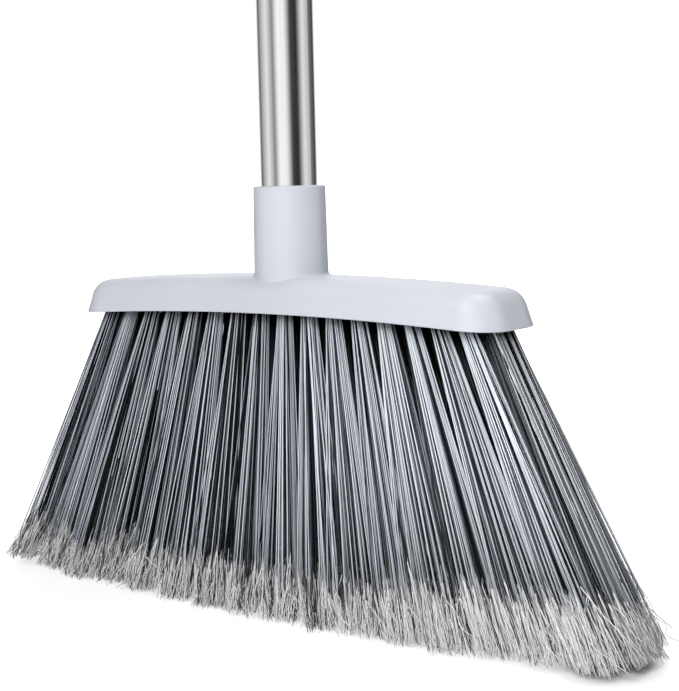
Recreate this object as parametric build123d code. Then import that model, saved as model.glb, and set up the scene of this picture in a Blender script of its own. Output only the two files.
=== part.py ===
from build123d import *
import math
import os

# Broom with a screw-together pole, in millimetres.
# The origin is on the floor under the pole, +Z runs up the pole and X runs along the head.

# Head cover
SKIRT_LENGTH = 205.0
SKIRT_DEPTH = 42.0
SKIRT_CORNER = 14.5
SKIRT_LEVEL = 115.0
SKIRT_SAG = 3.5
BLOCK_HEIGHT = 13.2
TOP_SAG = 3.8
FLARE_ANGLE = 18.0
COVER_WALL = 2.2
TOP_EDGE_ROUND = 8.5
SKIRT_EDGE_ROUND = 0.4

# Socket on the cover
SOCKET_WALL = 2.75
SOCKET_DRAFT = 0.55
SOCKET_FLOOR = 3.1
SOCKET_FOOT_ROUND = 1.5
SOCKET_RIM_ROUND = 1.0
SOCKET_ENTRY = 12.0

# Tuft plate, with the lowest slice of it carried by the bristle rows
PLATE_RECESS = 1.0
PLATE_GAP = 0.1
SLICE_THICKNESS = 2.0
TUFT_HOLE = 5.4
TUFT_HOLE_DEPTH = 5.0
TUFT_EDGE_WALL = 0.6
TUFT_END_WALL = 1.2
TUFT_ROOT_GAP = 0.05
STAPLE_LENGTH = 7.0
STAPLE_THICKNESS = 0.6
STAPLE_HEIGHT = 1.2

# Bristles
ROW_COUNT = 4
TUFTS_IN_OUTER_ROW = 16
TUFTS_IN_INNER_ROW = 17
STRANDS_ROUND_TUFT = 6
STRAND_WIDTH = 1.7
STRAND_EMBED = 1.0
ROOT_CIRCLE = 1.85
TIP_CIRCLE = 5.4
SPLAY_LENGTHWISE = 1.62
SPLAY_DEPTHWISE = 1.9
SPLAY_AT_ENDS = 1.4
FLOOR_CUT = 0.5

# Pole tubes
TUBE_DIAMETER = 22.0
TUBE_WALL = 0.6
TUBE_LENGTH = 269.0
PRESS_GAP = 0.05

# Screw joint
THREAD_PITCH = 4.0
THREAD_CORE = 12.8
THREAD_DEPTH = 1.6
THREAD_ROOT_WIDTH = 2.2
THREAD_CREST_WIDTH = 1.0
THREAD_GAP = 0.35
THREAD_EMBED = 0.4
BORE_DEPTH = 18.5
SHANK_END_GAP = 1.0
RIDGE_TOP_GAP = 1.0
RIDGE_END_GAP = 1.0
GROOVE_OVERRUN = 2.0
PLUG_HOLD = 24.0
PLUG_BORE = 6.0
FLANGE_THICKNESS = 2.0
WASHER_THICKNESS = 1.5
WASHER_INSET = 0.2
WASHER_BORE_GAP = 0.6
SEAT_GAP = 0.05
MOUTH_GAP = 0.3

# Collars and grips
COLLAR_WALL = 1.0
COLLAR_EDGE_ROUND = 0.6
COLLAR_HOLD = 10.0
COLLAR_ENTRY = 4.0
MIDDLE_GRIP_WALL = 1.7
MIDDLE_GRIP_HOLD = 79.0
MIDDLE_GRIP_ENTRY = 8.0
GRIP_END_WALL = 0.9
GRIP_END_TAPER = 7.0
TOP_GRIP_WALL = 1.7
TOP_GRIP_HOLD = 86.0

# Hanging cap
CAP_HEIGHT = 36.0
CAP_CROWN = 8.0
CAP_SHOULDER_WIDTH = 18.4
CAP_SPIGOT = 20.0
TANG_THICKNESS = 10.0
TANG_MARGIN = 2.2
TANG_SCOOP = 6.0
HANG_HOLE = 6.5
HANG_HOLE_DROP = 10.5

# Sizes worked out from the driving ones
TUBE_R = TUBE_DIAMETER / 2
TUBE_BORE_R = TUBE_R - TUBE_WALL
CORE_R = THREAD_CORE / 2
CREST_R = CORE_R + THREAD_DEPTH
MOUTH_R = TUBE_R + MOUTH_GAP
PLATE_LEVEL = SKIRT_LEVEL + PLATE_RECESS
PLATE_INSET = COVER_WALL + PLATE_GAP
BLOCK_TOP = SKIRT_LEVEL + BLOCK_HEIGHT
CROWN_LEVEL = BLOCK_TOP + TOP_SAG
ROOF_LEVEL = CROWN_LEVEL - COVER_WALL
SEAT_STACK = FLANGE_THICKNESS + WASHER_THICKNESS + 2 * SEAT_GAP
SOCKET_TOP = ROOF_LEVEL + SOCKET_FLOOR + BORE_DEPTH + SEAT_STACK + SOCKET_ENTRY
SOCKET_RIM_R = MOUTH_R + SOCKET_WALL
SOCKET_FOOT_R = SOCKET_RIM_R + SOCKET_DRAFT
TOP_GRIP_R = TUBE_R + TOP_GRIP_WALL
HOLE_RISE = PLATE_RECESS + SLICE_THICKNESS + TUFT_HOLE_DEPTH + SKIRT_SAG
PLATE_NARROWING = HOLE_RISE * math.tan(math.radians(FLARE_ANGLE))
HOLE_INSET = PLATE_INSET + PLATE_NARROWING + TUFT_HOLE / 2
ROW_PITCH = (SKIRT_DEPTH - 2 * HOLE_INSET - 2 * TUFT_EDGE_WALL) / (ROW_COUNT - 1)
TUFT_PITCH = (SKIRT_LENGTH - 2 * HOLE_INSET - 2 * TUFT_END_WALL) / (TUFTS_IN_INNER_ROW - 1)
ON_FLOOR = (Align.CENTER, Align.CENTER, Align.MIN)


def arch_level(x, end_level, sag):
    """Height at x of an arch that is end_level at the skirt's ends and rises by sag to its crown."""
    half = SKIRT_LENGTH / 2
    radius = (half**2 + sag**2) / (2 * sag)
    return end_level + sag - radius + math.sqrt(radius**2 - x**2)


def arched_slab(low_level, low_sag, high_level, high_sag):
    """Slab between two arches, wider than the head all round."""
    reach = SKIRT_LENGTH / 2 + SKIRT_CORNER
    low = [(x, arch_level(x, low_level, low_sag)) for x in (-reach, 0, reach)]
    high = [(x, arch_level(x, high_level, high_sag)) for x in (reach, 0, -reach)]
    outline = ThreePointArc(*low) + Line(low[2], high[0]) + ThreePointArc(*high) + Line(high[2], low[0])
    return extrude(Plane.XZ * make_face(outline), SKIRT_DEPTH, both=True)


def flared_walls(inset):
    """Inside of the head's flared outline, drawn in by inset on every side."""
    outline = RectangleRounded(
        SKIRT_LENGTH - 2 * inset,
        SKIRT_DEPTH - 2 * inset,
        SKIRT_CORNER - inset,
    )
    tall = BLOCK_HEIGHT + TOP_SAG + COVER_WALL
    return extrude(Pos(0, 0, SKIRT_LEVEL) * outline, tall, taper=FLARE_ANGLE)


def head_block(inset, low_level, high_level):
    """Head's arched form, drawn in by inset on every side, with the upper edges rounded."""
    block = flared_walls(inset) & arched_slab(low_level, SKIRT_SAG, high_level, TOP_SAG)
    top_face = block.faces().sort_by(Axis.Z)[-1]
    return fillet(top_face.edges(), TOP_EDGE_ROUND - inset)


def thread(root_r, crest_r, root_width, crest_width, seat, low, high):
    """Trapezoid swept up a right-hand helix between two levels, in step with the seat's level."""
    path = Rot(0, 0, 360 * (low - seat) / THREAD_PITCH) * Helix(THREAD_PITCH, high - low, root_r)
    path = Pos(0, 0, low) * path
    start = path @ 0
    across = Plane(start, x_dir=Vector(start.X, start.Y, 0).normalized(), z_dir=path % 0)
    tall = crest_r - root_r
    section = Polyline(
        (-THREAD_EMBED, -root_width / 2),
        (0, -root_width / 2),
        (tall, -crest_width / 2),
        (tall, crest_width / 2),
        (0, root_width / 2),
        (-THREAD_EMBED, root_width / 2),
        close=True,
    )
    return sweep(across * make_face(section), path=path, is_frenet=True)


def cylinder_between(radius, low, high):
    """Upright cylinder on the pole's axis."""
    return Pos(0, 0, low) * Cylinder(radius, high - low, align=ON_FLOOR)


def seat_level(mouth, entry):
    """Level of the face that a joint's washer sits on, below a mouth that the tube enters."""
    return mouth - entry - SEAT_STACK


def joint_cavity(mouth, entry):
    """Space cut out of a socket or collar: the tube's mouth, the threaded bore and its groove."""
    seat = seat_level(mouth, entry)
    wide = cylinder_between(MOUTH_R, seat, mouth)
    bore = cylinder_between(CORE_R + THREAD_GAP, seat - BORE_DEPTH, seat)
    groove = thread(
        CORE_R + THREAD_GAP,
        CREST_R + THREAD_GAP,
        THREAD_ROOT_WIDTH + 2 * THREAD_GAP,
        THREAD_CREST_WIDTH + 2 * THREAD_GAP,
        seat,
        seat - BORE_DEPTH + RIDGE_END_GAP,
        seat + GROOVE_OVERRUN,
    )
    return [wide, bore, groove]


def turned(points):
    """Solid of revolution about the pole's axis, from (radius, level) corners."""
    return revolve(Plane.XZ * make_face(Polyline(*points, close=True)), Axis.Z)


def head_cover():
    """Arched shell with flared walls, and the threaded pole socket standing on it."""
    block = head_block(0, SKIRT_LEVEL, BLOCK_TOP)
    low_face = block.faces().sort_by(Axis.Z)[0]
    block = fillet(low_face.edges(), SKIRT_EDGE_ROUND)
    socket = Cone(SOCKET_FOOT_R, SOCKET_RIM_R, SOCKET_TOP - ROOF_LEVEL, align=ON_FLOOR)
    rim = socket.edges().sort_by(Axis.Z)[-1]
    cover = block + Pos(0, 0, ROOF_LEVEL) * fillet(rim, SOCKET_RIM_ROUND)
    foot = cover.edges().filter_by(is_socket_foot)
    cover = fillet(foot, SOCKET_FOOT_ROUND)
    cover -= head_block(COVER_WALL, SKIRT_LEVEL - SKIRT_SAG, BLOCK_TOP - COVER_WALL)
    for space in joint_cavity(SOCKET_TOP, SOCKET_ENTRY):
        cover -= space
    return cover


def is_socket_foot(edge):
    """True for the edges where the socket meets the top of the block."""
    middle = edge @ 0.5
    off_foot = math.hypot(middle.X, middle.Y) - SOCKET_FOOT_R
    return abs(off_foot) < SOCKET_DRAFT and abs(middle.Z - CROWN_LEVEL) < TOP_EDGE_ROUND


def row_offset(row):
    """Distance of a bristle row from the pole's axis, front row first."""
    return (row - (ROW_COUNT - 1) / 2) * ROW_PITCH


def tuft_places(row):
    """Positions along the head of one row's tufts."""
    outer = row in (0, ROW_COUNT - 1)
    count = TUFTS_IN_OUTER_ROW if outer else TUFTS_IN_INNER_ROW
    return [(index - (count - 1) / 2) * TUFT_PITCH for index in range(count)]


def all_tufts():
    """Place of every tuft on the head."""
    return [(x, row_offset(row)) for row in range(ROW_COUNT) for x in tuft_places(row)]


def hole_foot(x):
    """Level of the plate's underside at x, above the slice that the bristle rows carry."""
    return arch_level(x, PLATE_LEVEL + SLICE_THICKNESS, SKIRT_SAG)


def tuft_plate():
    """Block under the cover, with one blind hole for each tuft."""
    plate = head_block(PLATE_INSET, PLATE_LEVEL + SLICE_THICKNESS, BLOCK_TOP - PLATE_INSET)
    holes = []
    for x, y in all_tufts():
        foot = hole_foot(x)
        place = Pos(x, y, foot - SLICE_THICKNESS)
        holes.append(place * Cylinder(TUFT_HOLE / 2, TUFT_HOLE_DEPTH + SLICE_THICKNESS, align=ON_FLOOR))
    return plate - holes


def tuft_staples():
    """Flat wire anchors across the closed ends of the tuft holes, biting into the plate."""
    staples = []
    for x, y in all_tufts():
        low = hole_foot(x) + TUFT_HOLE_DEPTH - STAPLE_HEIGHT
        wire = Box(STAPLE_LENGTH, STAPLE_THICKNESS, STAPLE_HEIGHT, align=ON_FLOOR)
        staples.append(Pos(x, y, low) * wire)
    return Compound(staples)


def splay_across(x):
    """Share by which tufts at x lean out across the head, most in the middle of its length."""
    share = (2 * x / SKIRT_LENGTH) ** 2
    return SPLAY_DEPTHWISE + (SPLAY_AT_ENDS - SPLAY_DEPTHWISE) * share


def strand(x, y, along, across):
    """One four-sided strand from its place in a tuft at (x, y) down past the floor."""
    root = Vector(
        x + ROOT_CIRCLE * along,
        y + ROOT_CIRCLE * across,
        arch_level(x, PLATE_LEVEL, SKIRT_SAG) + STRAND_EMBED,
    )
    tip = Vector(
        x * SPLAY_LENGTHWISE + TIP_CIRCLE * along,
        y * splay_across(x) + TIP_CIRCLE * across,
        -FLOOR_CUT,
    )
    run = tip - root
    square = Pos(root) * Rectangle(STRAND_WIDTH, STRAND_WIDTH)
    return extrude(square, run.length, dir=run.normalized())


def tuft(x, y):
    """Strands of one tuft, and its bound root in the plate's hole."""
    step = 360 / STRANDS_ROUND_TUFT
    angles = [math.radians(step * index) for index in range(STRANDS_ROUND_TUFT)]
    strands = [strand(x, y, 0, 0)]
    strands += [strand(x, y, math.cos(angle), math.sin(angle)) for angle in angles]
    foot = hole_foot(x)
    low = foot - SLICE_THICKNESS / 2
    high = foot + TUFT_HOLE_DEPTH - STAPLE_HEIGHT
    root = Cylinder(TUFT_HOLE / 2 - TUFT_ROOT_GAP, high - low, align=ON_FLOOR)
    return strands + [Pos(x, y, low) * root]


def bristle_row(row):
    """One row of tufts on its slice of the plate, cut flat on the floor."""
    y = row_offset(row)
    slice_top = PLATE_LEVEL + SLICE_THICKNESS
    backing = flared_walls(PLATE_INSET)
    backing &= arched_slab(PLATE_LEVEL, SKIRT_SAG, slice_top, SKIRT_SAG)
    outward = SKIRT_DEPTH
    front = -outward if row == 0 else y - ROW_PITCH / 2
    back = outward if row == ROW_COUNT - 1 else y + ROW_PITCH / 2
    lane = Box(SKIRT_LENGTH, back - front, 2 * SKIRT_LEVEL + SKIRT_LENGTH)
    backing &= Pos(0, (front + back) / 2, 0) * lane
    pieces = [piece for x in tuft_places(row) for piece in tuft(x, y)]
    return split(backing.fuse(*pieces), bisect_by=Plane.XY, keep=Keep.TOP)


def pole_tube(low):
    """Thin steel tube standing on a level."""
    return cylinder_between(TUBE_R, low, low + TUBE_LENGTH) - cylinder_between(
        TUBE_BORE_R, low, low + TUBE_LENGTH
    )


def thread_plug(mouth, entry):
    """Plug held in a tube's lower end, with a flange under the tube and a threaded shank."""
    seat = seat_level(mouth, entry)
    tube_end = mouth - entry
    shank_end = seat - BORE_DEPTH + SHANK_END_GAP
    plug = cylinder_between(TUBE_BORE_R - PRESS_GAP, tube_end, tube_end + PLUG_HOLD)
    plug += cylinder_between(TUBE_R, tube_end - FLANGE_THICKNESS, tube_end)
    plug += cylinder_between(CORE_R, shank_end, tube_end)
    plug += thread(
        CORE_R,
        CREST_R,
        THREAD_ROOT_WIDTH,
        THREAD_CREST_WIDTH,
        seat,
        shank_end + RIDGE_END_GAP,
        seat - RIDGE_TOP_GAP,
    )
    return plug - cylinder_between(PLUG_BORE / 2, shank_end, tube_end + PLUG_HOLD)


def joint_washer(mouth, entry):
    """Rubber washer between a plug's flange and the seat below it."""
    low = seat_level(mouth, entry) + SEAT_GAP
    high = low + WASHER_THICKNESS
    ring = cylinder_between(TUBE_R - WASHER_INSET, low, high)
    return ring - cylinder_between(CREST_R + WASHER_BORE_GAP, low, high)


def coupling_length(hold, entry):
    """Length of a piece that holds one tube from below and takes the next one from above."""
    return hold + BORE_DEPTH + SEAT_STACK + entry


def coupling_collar(low):
    """Plain collar pressed over a tube's upper end, threaded for the section above."""
    mouth = low + coupling_length(COLLAR_HOLD, COLLAR_ENTRY)
    collar = cylinder_between(MOUTH_R + COLLAR_WALL, low, mouth)
    collar = fillet(collar.edges().filter_by(GeomType.CIRCLE), COLLAR_EDGE_ROUND)
    collar -= cylinder_between(TUBE_R + PRESS_GAP, low, low + COLLAR_HOLD)
    for space in joint_cavity(mouth, COLLAR_ENTRY):
        collar -= space
    return collar


def middle_grip(low):
    """Long collar with tapered ends, held as a second grip."""
    mouth = low + coupling_length(MIDDLE_GRIP_HOLD, MIDDLE_GRIP_ENTRY)
    thick = MOUTH_R + MIDDLE_GRIP_WALL
    thin = MOUTH_R + GRIP_END_WALL
    grip = turned(
        [
            (0, low),
            (thin, low),
            (thick, low + GRIP_END_TAPER),
            (thick, mouth - GRIP_END_TAPER),
            (thin, mouth),
            (0, mouth),
        ]
    )
    grip -= cylinder_between(TUBE_R + PRESS_GAP, low, low + MIDDLE_GRIP_HOLD)
    for space in joint_cavity(mouth, MIDDLE_GRIP_ENTRY):
        grip -= space
    return grip


def top_grip(low):
    """Sleeve over the highest tube, up to the tube's end."""
    high = low + TOP_GRIP_HOLD
    thin = TUBE_R + GRIP_END_WALL
    bore = TUBE_R + PRESS_GAP
    wide = low + GRIP_END_TAPER
    return turned([(bore, low), (thin, low), (TOP_GRIP_R, wide), (TOP_GRIP_R, high), (bore, high)])


def hanging_cap(low):
    """Tapered end over the top grip, flattened to a tang with a hanging hole."""
    top = low + CAP_HEIGHT
    shoulder = top - CAP_CROWN
    half = CAP_SHOULDER_WIDTH / 2
    side = Line((TOP_GRIP_R, low), (half, shoulder))
    crown = EllipticalCenterArc((0, shoulder), half, CAP_CROWN, start_angle=0, arc_size=90)
    base = Polyline((0, top), (0, low), (TOP_GRIP_R, low))
    cap = revolve(Plane.XZ * make_face(side + crown + base), Axis.Z)
    cap += cylinder_between(TUBE_BORE_R - PRESS_GAP, low - CAP_SPIGOT, low)
    flat = TANG_THICKNESS / 2
    hole_level = top - HANG_HOLE_DROP
    bend = hole_level - HANG_HOLE / 2 - TANG_MARGIN
    outside = flat + TANG_SCOOP + TOP_GRIP_R
    scoop = Polyline(
        (flat, bend),
        (flat, top + TANG_SCOOP),
        (outside, top + TANG_SCOOP),
        (outside, bend - TANG_SCOOP),
        (flat + TANG_SCOOP, bend - TANG_SCOOP),
    )
    scoop += CenterArc((flat + TANG_SCOOP, bend), TANG_SCOOP, 180, 90)
    side_cut = extrude(Plane.YZ * make_face(scoop), outside, both=True)
    cap -= [side_cut, mirror(side_cut, Plane.XZ)]
    return cap - Pos(0, 0, hole_level) * Rot(90, 0, 0) * Cylinder(HANG_HOLE / 2, 2 * outside)


def whole_broom():
    """Every node of the broom by name, from the floor up."""
    nodes = {
        "head_cover": head_cover(),
        "tuft_plate": tuft_plate(),
        "tuft_staples": tuft_staples(),
    }
    for row in range(ROW_COUNT):
        nodes[f"bristle_row_{row + 1}"] = bristle_row(row)
    mouth = SOCKET_TOP
    entry = SOCKET_ENTRY
    upper_ends = [
        ("coupling_collar_1", coupling_collar, COLLAR_HOLD, COLLAR_ENTRY),
        ("coupling_collar_2", coupling_collar, COLLAR_HOLD, COLLAR_ENTRY),
        ("middle_grip", middle_grip, MIDDLE_GRIP_HOLD, MIDDLE_GRIP_ENTRY),
        ("top_grip", top_grip, TOP_GRIP_HOLD, 0),
    ]
    for number, (name, make, hold, next_entry) in enumerate(upper_ends, 1):
        nodes[f"joint_washer_{number}"] = joint_washer(mouth, entry)
        nodes[f"thread_plug_{number}"] = thread_plug(mouth, entry)
        nodes[f"pole_tube_{number}"] = pole_tube(mouth - entry)
        tube_top = mouth - entry + TUBE_LENGTH
        nodes[name] = make(tube_top - hold)
        mouth = tube_top - hold + coupling_length(hold, next_entry)
        entry = next_entry
    nodes["hanging_cap"] = hanging_cap(tube_top)
    return nodes


os.makedirs("parts", exist_ok=True)
for node, solid in whole_broom().items():
    export_step(solid, f"parts/{node}.step")
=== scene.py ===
import bpy
import math
import numpy as np
from mathutils import Matrix, Vector


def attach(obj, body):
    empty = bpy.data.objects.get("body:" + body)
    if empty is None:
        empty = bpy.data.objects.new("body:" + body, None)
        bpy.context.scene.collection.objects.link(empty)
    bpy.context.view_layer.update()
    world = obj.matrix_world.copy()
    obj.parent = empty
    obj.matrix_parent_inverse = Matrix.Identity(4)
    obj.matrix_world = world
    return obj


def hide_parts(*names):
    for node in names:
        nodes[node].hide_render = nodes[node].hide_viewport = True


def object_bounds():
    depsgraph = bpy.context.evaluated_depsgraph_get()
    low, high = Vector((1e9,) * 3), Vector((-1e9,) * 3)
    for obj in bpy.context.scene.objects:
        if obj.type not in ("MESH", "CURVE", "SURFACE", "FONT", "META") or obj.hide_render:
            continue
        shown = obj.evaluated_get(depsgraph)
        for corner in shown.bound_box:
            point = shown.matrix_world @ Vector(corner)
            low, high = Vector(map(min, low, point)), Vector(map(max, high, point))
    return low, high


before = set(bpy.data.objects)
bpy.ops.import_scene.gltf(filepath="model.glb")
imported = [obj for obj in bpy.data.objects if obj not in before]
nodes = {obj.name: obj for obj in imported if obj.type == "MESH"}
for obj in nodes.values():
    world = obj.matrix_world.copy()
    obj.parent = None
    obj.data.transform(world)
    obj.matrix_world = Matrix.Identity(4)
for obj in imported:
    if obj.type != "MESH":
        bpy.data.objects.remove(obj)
cad_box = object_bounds()

# Units
MILLIMETRE = 0.001
METRE = 1000

# Picture and camera
IMAGE_HEIGHT = 691
FOCAL_PX = 1493.1
YAW, PITCH, ROLL = (math.radians(angle) for angle in (37.071, 6.593, -1.334))
EYE = Vector((0.36768, -0.45656, 0.17148))

# Underside of the head, in millimetres
HALF_LENGTH = 102.5
PLATE_LEVEL = 116.0
PLATE_SAG = 3.5
PLATE_HALF_LENGTH = 99.8
PLATE_HALF_DEPTH = 18.2
PLATE_CORNER = 12.0
PLATE_THICKNESS = 2.0
PLATE_GRID = (121, 25)
SMALLEST_SQUARE = 0.04

# Tufts, in millimetres. The splay says how much wider the fan is at its tips.
FIRST_SEED = 40
ROW_PITCH = 7.776
TUFT_PITCH = 11.57
TUFT_COUNTS = (16, 17, 17, 16)
ROOT_RADIUS = 2.65
ROOT_EMBED = 1.4
LEFT_SPLAY = 1.625
RIGHT_SPLAY = 1.62
DEPTH_SPLAY = 2.0
DEPTH_SPLAY_AT_ENDS = 1.35
TIP_LENGTHWISE = 9.0
TIP_DEPTHWISE = 5.6
TIP_SCATTER = 1.0
FAN_HALF_LENGTH = 154.0
LEFT_LIFT = 4.5
RIGHT_LIFT = 2.0
LAST_TUFT = 80.0

# Places along half the head, from zero at its middle to one at its end
LEFT_LIFT_START = 0.65
RIGHT_LIFT_START = 0.15
LIFT_END = 0.9
LIFT_POWER = 1.2
END_START = 0.78
END_LENGTH = 0.1

# Filaments, in millimetres or in shares. A ring is a count, a radius and the chance of a light one, lower in
# the inner rings as painted shade inside the tuft.
RINGS = ((30, 1.0, 0.58), (18, 0.68, 0.25), (8, 0.34, 0.1))
FILAMENTS = sum(ring[0] for ring in RINGS)
FILAMENT_RADIUS = 0.25
FILAMENT_SIZES = (0.85, 1.15)
FILAMENT_POINTS = 7
FILAMENT_SIDES = 4
TURN_JITTER = 0.14
RADIUS_JITTER = 0.03
SQUARING = 0.7
LOOSE_SHARE = 0.3
LOOSE_SPREAD = 0.38
HELD_SPREAD = 0.06
LEFT_EDGE_SPREAD = 0.3
BEND = 0.25
THICKER_TO_RIGHT = 0.2

# Flags, in millimetres or in shares
FLAG_HEIGHT = 17.5
FLAG_RISE = 5.5
FLAG_LIMITS = (12, 36)
TUFT_FLAG_SPREAD = 2.0
FLAG_SPREAD = 3.2
FLAG_SPREAD_BEHIND = 2.5
FLAG_DROP_BEHIND = 0.3
TUFT_TIP_LIFT = 0.5
AIM_SHARE = 0.75
FIBRES = 4
FIBRE_RADIUS = 0.155
FIBRE_SIZES = (0.75, 1.25)
FIBRE_TAPER = (1.15, 0.9)
FIBRE_POINTS = 8
FIBRE_SIDES = 3
FIBRE_SPREAD = 1.2
SPLIT_REACH = 0.3
GAMMA_SHAPE = 1.2
TIP_GAP = 0.2
TIP_RISE = 0.5
CURL = 0.6
CURL_TURNS = (0.6, 2.2)
LARGEST_CURL = 2.5
STRAY_SHARE = 0.04
STRAY_SPREAD = (5.5, 2.5)
STRAY_RISE = 0.4
STRAY_CURL = 2.5
LOOSE_MARGIN = 7.0
FLOOR_GAP = 0.3

# Tones of the strands, from zero to one
LIGHT_TONE = 0.85
LIGHT_TONE_SPREAD = 0.12
# Dark strands: partly a random tone, partly painted shade between the light strands
DARK_TONE = 0.22
DARK_TONE_SPREAD = 0.3
# Painted light and shade: strand tones lighter towards the head's right end and darker towards its left end
LEFT_PAINTED_SHADE = 0.1
RIGHT_PAINTED_LIGHT = 0.25
# Painted light: more light strands towards the right end
PAINTED_LIGHT_STRAND_GAIN = 0.17
BRIGHT_TONE = 1.0
# Dull fibres: partly a random tone, partly painted shade between the bright ones
DULL_TONE = 0.1
FIBRE_TONE_SPREAD = 0.1
BRIGHT_IF_LIGHT = 0.82
BRIGHT_IF_DARK = 0.56
# Painted light: more bright flag fibres towards the right end
BRIGHT_PAINTED_LIGHT = 0.8

# Painted shade along the strands, from zero for black to one for the plain tone
SHADE_SLOPE = 1.1
SHADE_START = 0.08
INNER_SHADE = 0.42
INNER_SHADE_RISE = 0.2
END_OPENING = 0.6
FLAG_SHADE_POWER = 0.6
DIM_SHARE = 0.6
DIM_SHADE = 0.25
DIM_FLAG_SHADE = 0.5
LOWER_DARKER = 0.32
LOWER_DARKER_RISE = 0.13
UPPER_LENGTH = 0.35
UPPER_DARKER = 0.3


def arch(x):
    """Height of the plate's underside at x."""
    radius = (HALF_LENGTH**2 + PLATE_SAG**2) / (2 * PLATE_SAG)
    return PLATE_LEVEL + PLATE_SAG - radius + np.sqrt(radius**2 - np.square(x))


def end_share(along):
    """Zero up to the last tufts of a row, and one from there to the end of the head."""
    return np.clip((along - END_START) / END_LENGTH, 0, 1)


def add_object(name, data):
    """Object in the scene's collection."""
    made = bpy.data.objects.new(name, data)
    bpy.context.scene.collection.objects.link(made)
    return made


# Meshes

def mesh_from(name, points, face_sets, smooth=True):
    """Object from points in millimetres and arrays of faces, each array with one number of sides."""
    mesh = bpy.data.meshes.new(name)
    sides = np.concatenate([np.full(len(faces), faces.shape[1]) for faces in face_sets])
    corners = np.concatenate([faces.ravel() for faces in face_sets])
    starts = np.concatenate([[0], np.cumsum(sides)[:-1]])
    mesh.vertices.add(len(points))
    mesh.vertices.foreach_set("co", (points * MILLIMETRE).astype(np.float32).ravel())
    mesh.loops.add(len(corners))
    mesh.loops.foreach_set("vertex_index", corners.astype(np.int32))
    mesh.polygons.add(len(sides))
    mesh.polygons.foreach_set("loop_start", starts.astype(np.int32))
    mesh.polygons.foreach_set("use_smooth", np.full(len(sides), smooth))
    mesh.update(calc_edges=True)
    mesh.validate()
    return add_object(name, mesh)


def strand_mesh(name, paths, radii, sides, tones, shades):
    """One mesh of many closed strands, with a tone for each and a painted shade at each of its points.

    Paths are strands by points by three. Radii and shades are strands by points.
    """
    strands, steps, _ = paths.shape
    along = np.gradient(paths, axis=1)
    along /= np.linalg.norm(along, axis=2, keepdims=True)
    never_along = np.array([0.31, 0.95, 0.05])
    across = np.cross(along, never_along)
    across /= np.linalg.norm(across, axis=2, keepdims=True)
    third = np.cross(along, across)
    angle = np.linspace(0, 2 * np.pi, sides, endpoint=False)
    ring = across[:, :, None] * np.cos(angle)[:, None] + third[:, :, None] * np.sin(angle)[:, None]
    points = paths[:, :, None] + ring * radii[:, :, None, None]
    index = np.arange(strands * steps * sides).reshape(strands, steps, sides)
    here, there = index[:, :-1], index[:, 1:]
    walls = np.stack([here, np.roll(here, -1, 2), np.roll(there, -1, 2), there], -1).reshape(-1, 4)
    caps = np.concatenate([index[:, 0, ::-1], index[:, -1]])
    made = mesh_from(name, points.reshape(-1, 3), [walls, caps])
    for key, value in {"tone": tones[:, None, None], "shade": shades[:, :, None]}.items():
        attribute = made.data.attributes.new(key, "FLOAT", "POINT")
        spread = np.broadcast_to(value, index.shape)
        attribute.data.foreach_set("value", spread.astype(np.float32).ravel())
    return made


def tuft_lines(row, rng):
    """Root and tip of every tuft's middle line in one row. Tips rise a little towards the head's ends."""
    count = TUFT_COUNTS[row]
    x = (np.arange(count) - (count - 1) / 2) * TUFT_PITCH
    y = np.full(count, (row - (len(TUFT_COUNTS) - 1) / 2) * ROW_PITCH)
    root = np.stack([x, y, arch(x)], 1)
    splay = np.where(x < 0, LEFT_SPLAY, RIGHT_SPLAY)
    depth_splay = DEPTH_SPLAY + (DEPTH_SPLAY_AT_ENDS - DEPTH_SPLAY) * np.square(x / HALF_LENGTH)
    start = np.where(x < 0, LEFT_LIFT_START, RIGHT_LIFT_START)
    share = np.clip((np.abs(x) / HALF_LENGTH - start) / (LIFT_END - start), 0, 1)
    lift = np.where(x < 0, LEFT_LIFT, RIGHT_LIFT) * share**LIFT_POWER
    tip = np.stack([x * splay, y * depth_splay, lift], 1)
    tip[:, :2] += rng.normal(0, TIP_SCATTER, (count, 2))
    return root, tip


def bundle(rng):
    """Places of one tuft's filaments in rings about its middle, as shares of the tuft's radius.

    Each comes with the chance that it is a light one: high all round the tuft, low inside as painted shade.
    """
    places, chances = [], []
    for count, radius, chance in RINGS:
        turn = (np.arange(count) + rng.random() + rng.normal(0, TURN_JITTER, count)) * 2 * np.pi / count
        circle = np.stack([np.cos(turn), np.sin(turn)], 1)
        places.append(circle * radius * rng.normal(1, RADIUS_JITTER, (count, 1)))
        chances.append(np.full(count, chance))
    return np.concatenate(places), np.concatenate(chances)


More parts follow.
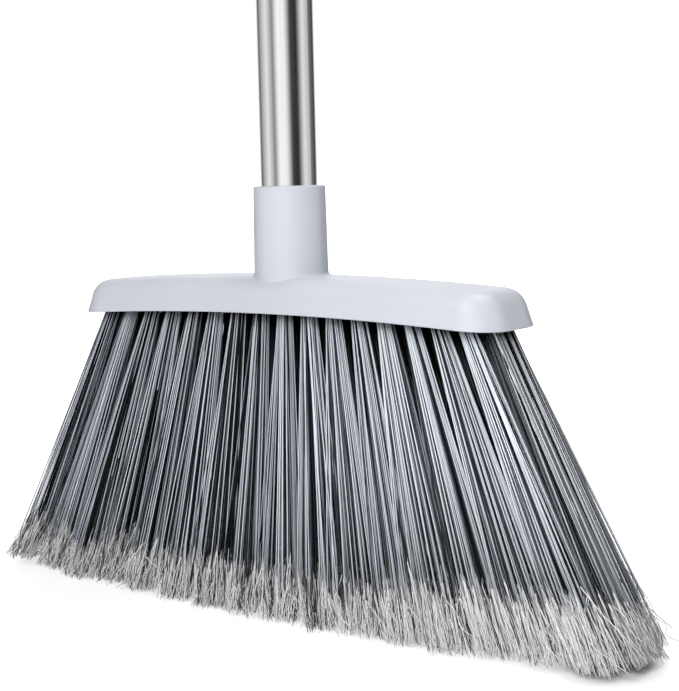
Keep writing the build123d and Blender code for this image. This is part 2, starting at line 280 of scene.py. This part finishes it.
def filament_paths(row, rng):
    """Nearly straight filaments of one row down to their flags.

    Each comes with the place it aims at, and with the chance that it is a light one.
    """
    steps = np.linspace(0, 1, FILAMENT_POINTS)[None, :, None]
    reach = np.array([TIP_LENGTHWISE, TIP_DEPTHWISE])
    paths, aims, chances = [], [], []
    for root, tip in zip(*tuft_lines(row, rng)):
        place, chance = bundle(rng)
        start = root + np.array([0, 0, ROOT_EMBED])
        right = np.clip(root[0] / HALF_LENGTH, 0, 1)
        behind = end_share(right) * (row > 0)
        rise = FLAG_RISE * (right - FLAG_DROP_BEHIND * behind)
        height = FLAG_HEIGHT + rise + rng.normal(0, TUFT_FLAG_SPREAD)
        flag = rng.normal(height, FLAG_SPREAD + FLAG_SPREAD_BEHIND * behind, FILAMENTS)
        share = (1 - np.clip(flag, *FLAG_LIMITS) / start[2])[:, None, None] * steps
        middle = start + (tip - start) * share
        loose = np.where(rng.random(FILAMENTS) < LOOSE_SHARE, LOOSE_SPREAD, HELD_SPREAD)[:, None]
        squared = place * (np.linalg.norm(place, axis=1) / np.abs(place).max(1))[:, None] ** SQUARING
        wide = (squared + rng.normal(0, 1, place.shape) * loose) * reach
        wide[:, 0] = np.clip(tip[0] + wide[:, 0], -FAN_HALF_LENGTH, FAN_HALF_LENGTH) - tip[0]
        narrow = place * ROOT_RADIUS
        outer = (root[0] < -LAST_TUFT) & (wide[:, 0] < 0)
        drawn = wide * np.where(outer[:, None], (LEFT_EDGE_SPREAD, 1), 1)
        middle[:, :, :2] += narrow[:, None] + (drawn - narrow)[:, None] * share
        middle[:, :, :2] += rng.normal(0, BEND, (FILAMENTS, 1, 2)) * np.sin(np.pi * share)
        paths.append(middle)
        lift = np.full(FILAMENTS, abs(rng.normal(0, TUFT_TIP_LIFT)))
        aims.append(tip + np.column_stack([wide * AIM_SHARE, lift]))
        chances.append(chance)
    return np.concatenate(paths), np.concatenate(aims), np.concatenate(chances)


def fibre_paths(paths, aims, rng):
    """Fine fibres that each filament splits into, curling a little on their way to the floor.

    A few are stray ones, which reach further out and end higher up.
    """
    steps = np.linspace(0, 1, FIBRE_POINTS)[None, :, None]
    foot = np.repeat(paths[:, -1], FIBRES, 0)
    count = len(foot)
    foot += np.repeat(paths[:, -2] - paths[:, -1], FIBRES, 0) * rng.uniform(0, SPLIT_REACH, (count, 1))
    stray = rng.random(count) < STRAY_SHARE
    tip = np.repeat(aims, FIBRES, 0)
    tip[:, :2] += rng.normal(0, FIBRE_SPREAD, (count, 2)) * np.where(stray[:, None], STRAY_SPREAD, 1.0)
    tip[:, 0] = np.where(stray, np.clip(tip[:, 0], -FAN_HALF_LENGTH, FAN_HALF_LENGTH), tip[:, 0])
    rise = TIP_GAP + rng.gamma(GAMMA_SHAPE, TIP_RISE, count)
    tip[:, 2] += rise + np.where(stray, rng.uniform(0, STRAY_RISE, count) * foot[:, 2], 0)
    line = foot[:, None] + (tip - foot)[:, None] * steps
    phase = rng.uniform(0, 2 * np.pi, (count, 1, 2))
    turns = rng.uniform(*CURL_TURNS, (count, 1, 2))
    curl = rng.gamma(GAMMA_SHAPE, CURL, (count, 1, 1)) * np.where(stray, STRAY_CURL, 1.0)[:, None, None]
    swing = np.minimum(curl, LARGEST_CURL)
    line[:, :, :2] += (np.sin(phase + turns * 2 * np.pi * steps) - np.sin(phase)) * swing * steps
    lowest, highest = (np.array(corner) * METRE for corner in cad_box)
    line[:, :, :2] = np.clip(line[:, :, :2], lowest[:2] - LOOSE_MARGIN, highest[:2] + LOOSE_MARGIN)
    line[:, :, 2] = np.maximum(line[:, :, 2], FLOOR_GAP)
    return line, stray


def row_shades(row, along, rng):
    """Shades down the filaments of one row, and the shade of each one's flag.

    The inner rows are darker than the outer ones, most of all at their roots, as painted shade. At the right
    end, many filaments behind the first row are dimmed as painted shade. Lower parts and, away from the right
    end, roots get painted shade too.
    """
    steps = np.linspace(0, 1, FILAMENT_POINTS)
    along = along[:, None]
    right = np.clip(along, 0, 1)
    open_air = END_OPENING * end_share(np.abs(along))
    if row in (0, len(TUFT_COUNTS) - 1):
        open_air[:] = 1
    shades = np.clip(SHADE_SLOPE * steps - SHADE_START, 0, INNER_SHADE + INNER_SHADE_RISE * right)
    shades = shades + (1 - shades) * open_air
    flag_shades = shades[:, -1:] ** FLAG_SHADE_POWER
    if row > 0:
        dim = rng.random(along.shape) < DIM_SHARE * end_share(along)
        shades = shades * np.where(dim, DIM_SHADE, 1.0)
        flag_shades = flag_shades * np.where(dim, DIM_FLAG_SHADE, 1.0)
    lower = np.clip((steps - 0.5) / 0.5, 0, 1) * np.clip(along + 0.5, 0, 1)
    upper = np.clip(1 - steps / UPPER_LENGTH, 0, 1) * (1 - right)
    shades = shades * (1 - (LOWER_DARKER + LOWER_DARKER_RISE * right) * lower) * (1 - UPPER_DARKER * upper)
    return shades, flag_shades


def make_bristles():
    """Filaments and flagged fibres of the four rows, which stand for the plain rows of the frame."""
    filaments, flags = [], []
    for row in range(len(TUFT_COUNTS)):
        rng = np.random.default_rng(FIRST_SEED + row)
        paths, aims, chances = filament_paths(row, rng)
        along = paths[:, 0, 0] / HALF_LENGTH
        right = np.clip(along, 0, 1)
        # Painted light and shade: tones lighter towards the right end and darker towards the left end, with
        # more light strands to the right
        painted_light = np.where(along > 0, RIGHT_PAINTED_LIGHT, LEFT_PAINTED_SHADE) * along
        light = rng.random(len(chances)) < chances + PAINTED_LIGHT_STRAND_GAIN * right
        usual = np.where(light, LIGHT_TONE + painted_light, DARK_TONE)
        tones = np.clip(rng.normal(usual, np.where(light, LIGHT_TONE_SPREAD, DARK_TONE_SPREAD)), 0, 1)
        shades, flag_shades = row_shades(row, along, rng)
        thick = np.ones(paths.shape[:2]) * FILAMENT_RADIUS * rng.uniform(*FILAMENT_SIZES, (len(paths), 1))
        thick *= np.where(light, 1 + THICKER_TO_RIGHT * right, 1 - THICKER_TO_RIGHT * right)[:, None]
        filaments.append(strand_mesh(f"filaments_{row + 1}", paths, thick, FILAMENT_SIDES, tones, shades))
        fibres, stray = fibre_paths(paths, aims, rng)
        taper = np.linspace(*FIBRE_TAPER, FIBRE_POINTS)
        thin = taper * FIBRE_RADIUS * rng.uniform(*FIBRE_SIZES, (len(fibres), 1))
        # Painted light: more bright flag fibres towards the right end
        chance = np.where(light, BRIGHT_IF_LIGHT, BRIGHT_IF_DARK) + BRIGHT_PAINTED_LIGHT * np.maximum(painted_light, 0)
        bright = rng.random(len(fibres)) < np.repeat(chance, FIBRES)
        tones = np.clip(rng.normal(np.where(bright, BRIGHT_TONE, DULL_TONE), FIBRE_TONE_SPREAD), 0, 1)
        tones = np.where(stray, BRIGHT_TONE, tones)
        shades = np.repeat(flag_shades, FIBRES, 0) * np.ones(FIBRE_POINTS)
        flags.append(strand_mesh(f"flags_{row + 1}", fibres, thin, FIBRE_SIDES, tones, shades))
        for piece in (filaments[-1], flags[-1]):
            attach(piece, "head")
            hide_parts(f"bristle_row_{row + 1}")
    return filaments, flags


def make_bed():
    """Underside of the tuft plate, which the tufts come out of."""
    long_count, deep_count = PLATE_GRID
    across = np.linspace(-1, 1, deep_count)
    x = np.linspace(-PLATE_HALF_LENGTH, PLATE_HALF_LENGTH, long_count)
    inset = np.clip(np.abs(x) - (PLATE_HALF_LENGTH - PLATE_CORNER), 0, PLATE_CORNER)
    round_end = np.sqrt(np.maximum(PLATE_CORNER**2 - inset**2, SMALLEST_SQUARE))
    half = PLATE_HALF_DEPTH - PLATE_CORNER + round_end
    sheet = np.stack(np.broadcast_arrays(x[:, None], half[:, None] * across, arch(x)[:, None]), -1)
    upper = sheet + np.array([0, 0, PLATE_THICKNESS])
    points = np.concatenate([sheet.reshape(-1, 3), upper.reshape(-1, 3)])
    index = np.arange(sheet.shape[0] * sheet.shape[1]).reshape(sheet.shape[:2])
    quads = np.stack([index[:-1, :-1], index[:-1, 1:], index[1:, 1:], index[1:, :-1]], -1).reshape(-1, 4)
    rim = np.concatenate([index[:-1, 0], index[-1, :-1], index[:0:-1, -1], index[0, :0:-1]])
    following = np.roll(rim, -1)
    walls = np.stack([rim, following, following + index.size, rim + index.size], -1)
    bed = mesh_from("tuft_bed", points, [quads, quads[:, ::-1] + index.size, walls], smooth=False)
    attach(bed, "head")
    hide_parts(*[f"bristle_row_{row + 1}" for row in range(len(TUFT_COUNTS))])
    return bed


# Materials

class Paint:
    """Node material under construction, with short ways to add and join nodes."""

    def __init__(self, name):
        self.material = bpy.data.materials.new(name)
        self.material.use_nodes = True
        self.tree = self.material.node_tree
        self.shader = self.tree.nodes["Principled BSDF"]

    def set(self, **values):
        """Constant values, set on the shader's own sockets."""
        for key, value in values.items():
            self.shader.inputs[key.replace("_", " ")].default_value = value
        return self

    def node(self, kind, **settings):
        made = self.tree.nodes.new(kind)
        for key, value in settings.items():
            setattr(made, key, value)
        return made

    def join(self, source, target):
        self.tree.links.new(source, target)

    def noise(self, scale, detail=4, stretch=(1, 1, 1)):
        """Noise fixed to the piece, stretched by a scale for each axis."""
        where = self.node("ShaderNodeTexCoord").outputs["Object"]
        mapping = self.node("ShaderNodeMapping")
        mapping.inputs["Scale"].default_value = stretch
        self.join(where, mapping.inputs["Vector"])
        made = self.node("ShaderNodeTexNoise")
        made.inputs["Scale"].default_value = scale
        made.inputs["Detail"].default_value = detail
        self.join(mapping.outputs["Vector"], made.inputs["Vector"])
        return made.outputs["Fac"]

    def stored(self, name):
        """Value stored on the strands of a mesh."""
        return self.node("ShaderNodeAttribute", attribute_name=name).outputs["Fac"]

    def ranged(self, source, low, high, start=0.3, end=0.7):
        """Value from low to high as the source goes from start to end."""
        made = self.node("ShaderNodeMapRange")
        for key, value in {"From Min": start, "From Max": end, "To Min": low, "To Max": high}.items():
            made.inputs[key].default_value = value
        self.join(source, made.inputs["Value"])
        return made.outputs["Result"]

    def ramp(self, source, stops):
        """Colour by the source's value, between stops of a value and a colour."""
        made = self.node("ShaderNodeValToRGB")
        stripe = made.color_ramp.elements
        while len(stripe) < len(stops):
            stripe.new(0.5)
        for element, (where, colour) in zip(stripe, stops):
            element.position = where
            element.color = (*colour, 1)
        self.join(source, made.inputs["Fac"])
        return made.outputs["Color"]

    def multiplied(self, first, second):
        made = self.node("ShaderNodeMix", data_type="RGBA", blend_type="MULTIPLY")
        made.inputs["Factor"].default_value = 1.0
        self.join(first, made.inputs["A"])
        self.join(second, made.inputs["B"])
        return made.outputs["Result"]

    def bump(self, height, strength, distance):
        made = self.node("ShaderNodeBump")
        made.inputs["Strength"].default_value = strength
        made.inputs["Distance"].default_value = distance
        self.join(height, made.inputs["Height"])
        self.join(made.outputs["Normal"], self.shader.inputs["Normal"])

    def colour(self, source):
        self.join(source, self.shader.inputs["Base Color"])

    def roughness(self, source):
        self.join(source, self.shader.inputs["Roughness"])


def shade(colour, factor):
    return tuple(channel * factor for channel in colour)


def moulded_plastic(name, colour, low, high):
    """Satin moulded plastic: faint flow marks, uneven gloss from low to high roughness and a fine grain."""
    paint = Paint(name)
    marks = paint.noise(scale=22, detail=5)
    paint.colour(paint.ramp(marks, [(0.3, shade(colour, 0.97)), (0.7, shade(colour, 1.03))]))
    paint.roughness(paint.ranged(paint.noise(scale=70, detail=6), low, high))
    paint.bump(paint.noise(scale=2600, detail=3), strength=0.08, distance=0.0002)
    return paint.material


def polished_steel(name):
    """Bright drawn tube with faint lines along its length."""
    paint = Paint(name).set(Metallic=1.0)
    lines = paint.noise(scale=900, detail=3, stretch=(1, 1, 0.012))
    paint.colour(paint.ramp(lines, [(0.3, (0.88, 0.88, 0.885)), (0.7, (0.94, 0.94, 0.945))]))
    paint.roughness(paint.ranged(lines, low=0.13, high=0.2))
    paint.bump(lines, strength=0.02, distance=0.0001)
    return paint.material


def drawn_wire(name):
    """Dull staple wire."""
    paint = Paint(name).set(Metallic=1.0)
    lines = paint.noise(scale=500, detail=3)
    paint.colour(paint.ramp(lines, [(0.3, (0.42, 0.42, 0.43)), (0.7, (0.56, 0.56, 0.57))]))
    paint.roughness(paint.ranged(lines, low=0.3, high=0.45))
    return paint.material


def rubber(name):
    """Black washer rubber with a matt, speckled face."""
    paint = Paint(name)
    speckle = paint.noise(scale=800, detail=4)
    paint.colour(paint.ramp(speckle, [(0.3, (0.012, 0.012, 0.013)), (0.7, (0.026, 0.026, 0.028))]))
    paint.roughness(paint.ranged(speckle, low=0.6, high=0.8))
    paint.bump(speckle, strength=0.1, distance=0.0002)
    return paint.material


def nylon(name, stops, low, high):
    """Bristle nylon. The strand's tone picks its colour, its painted shade darkens it, and dark strands shine
    less, so the painted shade also dims their reflections.
    """
    paint = Paint(name)
    shade_of = paint.ramp(paint.stored("shade"), [(0.0, (0, 0, 0)), (1.0, (1, 1, 1))])
    shown = paint.multiplied(paint.ramp(paint.stored("tone"), stops), shade_of)
    paint.colour(shown)
    shine = paint.ranged(shown, low=0.04, high=0.5, start=0.0, end=0.4)
    paint.join(shine, paint.shader.inputs["Specular IOR Level"])
    lines = paint.noise(scale=300, detail=2, stretch=(1, 1, 0.1))
    paint.roughness(paint.ranged(lines, low, high))
    return paint.material


def dress(objects, material):
    """The one material of each object."""
    for made in objects:
        made.data.materials.clear()
        made.data.materials.append(material)


def numbered(name, count):
    """Frame nodes that differ only by their number."""
    return [nodes[f"{name}_{number}"] for number in range(1, count + 1)]


def dress_all(bed, filaments, flags):
    """A material for the bed, the strands and every node of the frame."""
    grey = (0.60, 0.625, 0.68)
    plug_grey = (0.42, 0.43, 0.45)
    shells = [nodes[name] for name in ("head_cover", "middle_grip", "top_grip", "hanging_cap")]
    shells += numbered("coupling_collar", 2)
    dress(shells, moulded_plastic("grey_plastic", grey, low=0.36, high=0.46))
    underside = moulded_plastic("plate_plastic", shade(grey, 0.3), low=0.45, high=0.55)
    dress([nodes["tuft_plate"], bed], underside)
    dress(numbered("thread_plug", 4), moulded_plastic("plug_plastic", plug_grey, low=0.4, high=0.5))
    dress(numbered("pole_tube", 4), polished_steel("polished_steel"))
    dress([nodes["tuft_staples"]], drawn_wire("staple_wire"))
    dress(numbered("joint_washer", 4), rubber("washer_rubber"))
    blue_grey = [(0.0, (0.006, 0.0065, 0.008)), (0.4, (0.06, 0.066, 0.08))]
    blue_grey += [(0.75, (0.54, 0.58, 0.66)), (1.0, (0.86, 0.9, 0.97))]
    silver = [(0.0, (0.03, 0.031, 0.033)), (0.4, (0.25, 0.252, 0.257))]
    silver += [(0.75, (0.78, 0.782, 0.787)), (1.0, (0.96, 0.96, 0.96))]
    dress(filaments + numbered("bristle_row", 4), nylon("filament", blue_grey, low=0.22, high=0.34))
    dress(flags, nylon("flag", silver, low=0.35, high=0.5))


# Studio

def make_camera():
    """Camera at the photograph's place, level, turn and lens."""
    forward = Vector((-math.sin(YAW) * math.cos(PITCH), math.cos(YAW) * math.cos(PITCH), -math.sin(PITCH)))
    level = Vector((math.cos(YAW), math.sin(YAW), 0))
    upright = level.cross(forward)
    right = level * math.cos(ROLL) + upright * math.sin(ROLL)
    up = upright * math.cos(ROLL) - level * math.sin(ROLL)
    lens = bpy.data.cameras.new("camera")
    lens.sensor_width = 36
    lens.lens = FOCAL_PX / IMAGE_HEIGHT * lens.sensor_width
    lens.clip_start = 0.01
    camera = add_object("camera", lens)
    turn = Matrix((right, up, -forward)).transposed()
    camera.matrix_world = Matrix.Translation(EYE) @ turn.to_4x4()
    bpy.context.scene.camera = camera


def math_node(tree, operation, *sources):
    """Result of a sum on sockets or plain numbers."""
    made = tree.nodes.new("ShaderNodeMath")
    made.operation = operation
    for place, source in enumerate(sources):
        if isinstance(source, bpy.types.NodeSocket):
            tree.links.new(source, made.inputs[place])
        else:
            made.inputs[place].default_value = source
    return made.outputs[0]


def seen_ray(tree):
    """One for rays from the camera, mirrors and glass."""
    path = tree.nodes.new("ShaderNodeLightPath").outputs
    mirror = math_node(tree, "MAXIMUM", path["Is Glossy Ray"], path["Is Transmission Ray"])
    return math_node(tree, "MAXIMUM", path["Is Camera Ray"], mirror)


def mixed_shader(tree, factor, first, second, out):
    """The first shader where the factor is zero and the second where it is one."""
    mix = tree.nodes.new("ShaderNodeMixShader")
    tree.links.new(factor, mix.inputs[0])
    tree.links.new(first.outputs[0], mix.inputs[1])
    tree.links.new(second.outputs[0], mix.inputs[2])
    tree.links.new(mix.outputs[0], out.inputs["Surface"])


def bare_tree(owner, out_kind):
    """Empty node tree of a material or world, with its output node."""
    owner.use_nodes = True
    tree = owner.node_tree
    tree.nodes.clear()
    return tree, tree.nodes.new(out_kind)


def make_world(strength):
    """White surroundings, which add a little light of the given strength."""
    world = bpy.data.worlds.new("studio")
    bpy.context.scene.world = world
    tree, out = bare_tree(world, "ShaderNodeOutputWorld")
    fill, white = (tree.nodes.new("ShaderNodeBackground") for _ in range(2))
    for background, level in ((fill, strength), (white, 1.0)):
        background.inputs["Color"].default_value = (1, 1, 1, 1)
        background.inputs["Strength"].default_value = level
    mixed_shader(tree, seen_ray(tree), fill, white, out)


def spot(tree, centre, stretch, ends, values):
    """Value that changes between two distances, in metres, from a point of the floor."""
    place = tree.nodes.new("ShaderNodeMapping")
    place.vector_type = "TEXTURE"
    place.inputs["Location"].default_value = (*centre, 0)
    place.inputs["Scale"].default_value = (*stretch, 1)
    tree.links.new(tree.nodes.new("ShaderNodeTexCoord").outputs["Object"], place.inputs["Vector"])
    length = tree.nodes.new("ShaderNodeVectorMath")
    length.operation = "LENGTH"
    tree.links.new(place.outputs["Vector"], length.inputs[0])
    fade = tree.nodes.new("ShaderNodeMapRange")
    fade.interpolation_type = "SMOOTHSTEP"
    for key, value in zip(("From Min", "From Max", "To Min", "To Max"), (*ends, *values)):
        fade.inputs[key].default_value = value
    tree.links.new(length.outputs["Value"], fade.inputs["Value"])
    return fade.outputs["Result"]


def make_floor():
    """White floor that keeps the broom's shadow close by and melts into the background further off.

    It glows for the camera and mirrors, less so under the broom and least at the fan's right corner.
    """
    half = 30000.0
    corners = np.array([[-half, -half, 0], [half, -half, 0], [half, half, 0], [-half, half, 0]])
    floor = mesh_from("floor", corners, [np.array([[0, 1, 2, 3]])], smooth=False)
    material = bpy.data.materials.new("floor")
    tree, out = bare_tree(material, "ShaderNodeOutputMaterial")
    diffuse = tree.nodes.new("ShaderNodeBsdfDiffuse")
    diffuse.inputs["Color"].default_value = (0.95, 0.95, 0.95, 1)
    glow = tree.nodes.new("ShaderNodeEmission")
    glow.inputs["Strength"].default_value = 1.6
    around = spot(tree, centre=(0, 0), stretch=(2, 1), ends=(0.08, 0.22), values=(0.42, 1.0))
    corner = spot(tree, centre=(0.143, -0.006), stretch=(1, 1), ends=(0.01, 0.026), values=(0.42, 0.0))
    share = math_node(tree, "SUBTRACT", around, corner)
    mixed_shader(tree, math_node(tree, "MULTIPLY", share, seen_ray(tree)), diffuse, glow, out)
    dress([floor], material)


def make_softbox(name, place, target, width, height, power, mirrored=True):
    """Large plain area lamp, turned towards a point, which may be left out of reflections."""
    lamp = bpy.data.lights.new(name, "AREA")
    lamp.shape = "RECTANGLE"
    lamp.size = width
    lamp.size_y = height
    lamp.energy = power
    made = add_object(name, lamp)
    made.location = place
    made.rotation_mode = "QUATERNION"
    made.rotation_quaternion = (Vector(target) - Vector(place)).to_track_quat("-Z", "Y")
    made.visible_camera = False
    made.visible_glossy = mirrored


def make_reflection_screen():
    """Ring of light and dark cards round the studio, which only shows in reflections.

    A card is an angle and a grey. Angles are in degrees to the right of the camera, seen from the pole.
    The profile is radii and heights in millimetres.
    """
    cards = [(-180, 1.0), (-160, 0.9), (-143, 0.08), (-86, 0.85), (-54, 0.22), (-34, 1.0), (-6, 0.95)]
    cards += [(18, 0.04), (44, 0.02), (72, 0.85), (120, 0.1), (143, 0.05), (160, 0.9), (180, 1.0)]
    count = 96
    angle = np.linspace(0, 2 * np.pi, count, endpoint=False)
    profile = [(100.0, 3.0), (4000.0, 6.0), (4000.0, 9000.0)]
    rings = [np.stack([r * np.cos(angle), r * np.sin(angle), np.full(count, z)], 1) for r, z in profile]
    index = np.arange(len(profile) * count).reshape(len(profile), count)
    here, there = index[:-1], index[1:]
    faces = np.stack([here, np.roll(here, -1, 1), np.roll(there, -1, 1), there], -1).reshape(-1, 4)
    screen = mesh_from("reflection_screen", np.concatenate(rings), [faces])
    for ray in ("camera", "diffuse", "transmission", "volume_scatter", "shadow"):
        setattr(screen, f"visible_{ray}", False)
    material = bpy.data.materials.new("reflection_screen")
    tree, out = bare_tree(material, "ShaderNodeOutputMaterial")
    turned = tree.nodes.new("ShaderNodeMapping")
    turned.inputs["Rotation"].default_value = (0, 0, -math.atan2(EYE.y, EYE.x))
    tree.links.new(tree.nodes.new("ShaderNodeTexCoord").outputs["Object"], turned.inputs["Vector"])
    split = tree.nodes.new("ShaderNodeSeparateXYZ")
    tree.links.new(turned.outputs["Vector"], split.inputs[0])
    bearing = math_node(tree, "ARCTAN2", split.outputs["Y"], split.outputs["X"])
    ramp = tree.nodes.new("ShaderNodeValToRGB")
    share = math_node(tree, "MULTIPLY_ADD", bearing, 1 / (2 * math.pi), 0.5)
    tree.links.new(share, ramp.inputs["Fac"])
    stripe = ramp.color_ramp.elements
    while len(stripe) < len(cards):
        stripe.new(0.5)
    for element, (degrees, grey) in zip(stripe, cards):
        element.position = degrees / 360 + 0.5
        element.color = (grey, grey, grey, 1)
    glow = tree.nodes.new("ShaderNodeEmission")
    tree.links.new(ramp.outputs["Color"], glow.inputs["Color"])
    tree.links.new(glow.outputs[0], out.inputs["Surface"])
    dress([screen], material)


def make_studio():
    """Camera, floor, surroundings and lamps. Places and sizes are in metres, and powers in watts."""
    make_camera()
    make_world(strength=0.05)
    make_floor()
    make_reflection_screen()
    make_softbox("near_softbox", place=(0.3, -0.44, 0.34), target=(0, 0, 0.13),
                 width=0.24, height=0.24, power=1.9, mirrored=False)
    make_softbox("front_softbox", place=(0.0, -0.95, 1.1), target=(0, 0, 0.13),
                 width=0.7, height=0.7, power=6.5)
    make_softbox("back_softbox", place=(0.15, 0.6, 1.8), target=(0, 0, 0.1),
                 width=1.0, height=0.8, power=12.5)
    make_softbox("rear_softbox", place=(-0.5, 0.75, 0.45), target=(0, 0, 0.1),
                 width=0.6, height=0.6, power=5.0, mirrored=False)
    bpy.context.scene.view_settings.view_transform = "Standard"


bed = make_bed()
filaments, flags = make_bristles()
dress_all(bed, filaments, flags)
make_studio()
